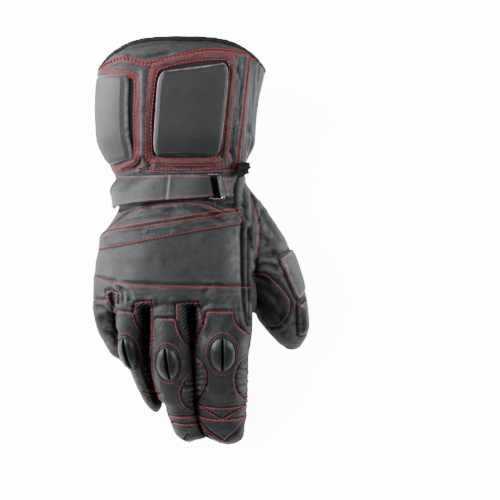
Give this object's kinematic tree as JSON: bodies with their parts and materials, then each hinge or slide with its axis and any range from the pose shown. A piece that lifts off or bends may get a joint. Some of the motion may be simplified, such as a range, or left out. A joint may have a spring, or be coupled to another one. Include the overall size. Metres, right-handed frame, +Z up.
{
  "type": "gauntlet sport glove",
  "caption": "Long-cuffed leather sport glove for the right hand, lying palm down, with relaxed fingers, padded cuff plates, a wrist strap through a metal loop and raised finger-joint pads.",
  "frame": {"origin": "under the middle of the whole glove's bounding box, at the level of the surface it lies on", "axes": "+Y from the fingers to the cuff's opening, +Z up, out of the back of the hand, +X to the thumb's side"},
  "size_m": [0.1542, 0.2841, 0.0802],
  "materials": {
    "charcoal_leather": "soft sheen",
    "pad_leather": "matte",
    "side_pad_leather": "soft sheen",
    "strap_leather": "satin",
    "binding_leather": "soft sheen",
    "palm_leather": "matte",
    "flap_leather": "matte",
    "black_elastic": "matte, shirred",
    "slider_plastic": "satin",
    "black_metal": "polished black metal"
  },
  "bodies": {
    "root": {"gauntlet": "charcoal_leather", "cuff_binding": "binding_leather", "cuff_pad_centre": "pad_leather", "cuff_pad_side": "side_pad_leather", "cuff_flap": "flap_leather", "wrist_gathers": "black_elastic", "wrist_strap": "strap_leather", "strap_ring": "black_metal", "strap_tab": "strap_leather", "hand": "charcoal_leather", "wrist_crescent": "charcoal_leather", "back_band": "charcoal_leather", "back_panel": "charcoal_leather", "finger_index": "charcoal_leather", "finger_middle": "charcoal_leather", "finger_ring": "charcoal_leather", "finger_little": "charcoal_leather", "thumb": "charcoal_leather", "knuckle_pad_index": "side_pad_leather", "knuckle_pad_middle": "side_pad_leather", "knuckle_pad_ring": "side_pad_leather", "thumb_patch_upper": "charcoal_leather", "thumb_patch_lower": "charcoal_leather", "palm_patch": "palm_leather", "palm_slider_inner": "slider_plastic", "palm_slider_outer": "slider_plastic"}
  },
  "joints": []
}
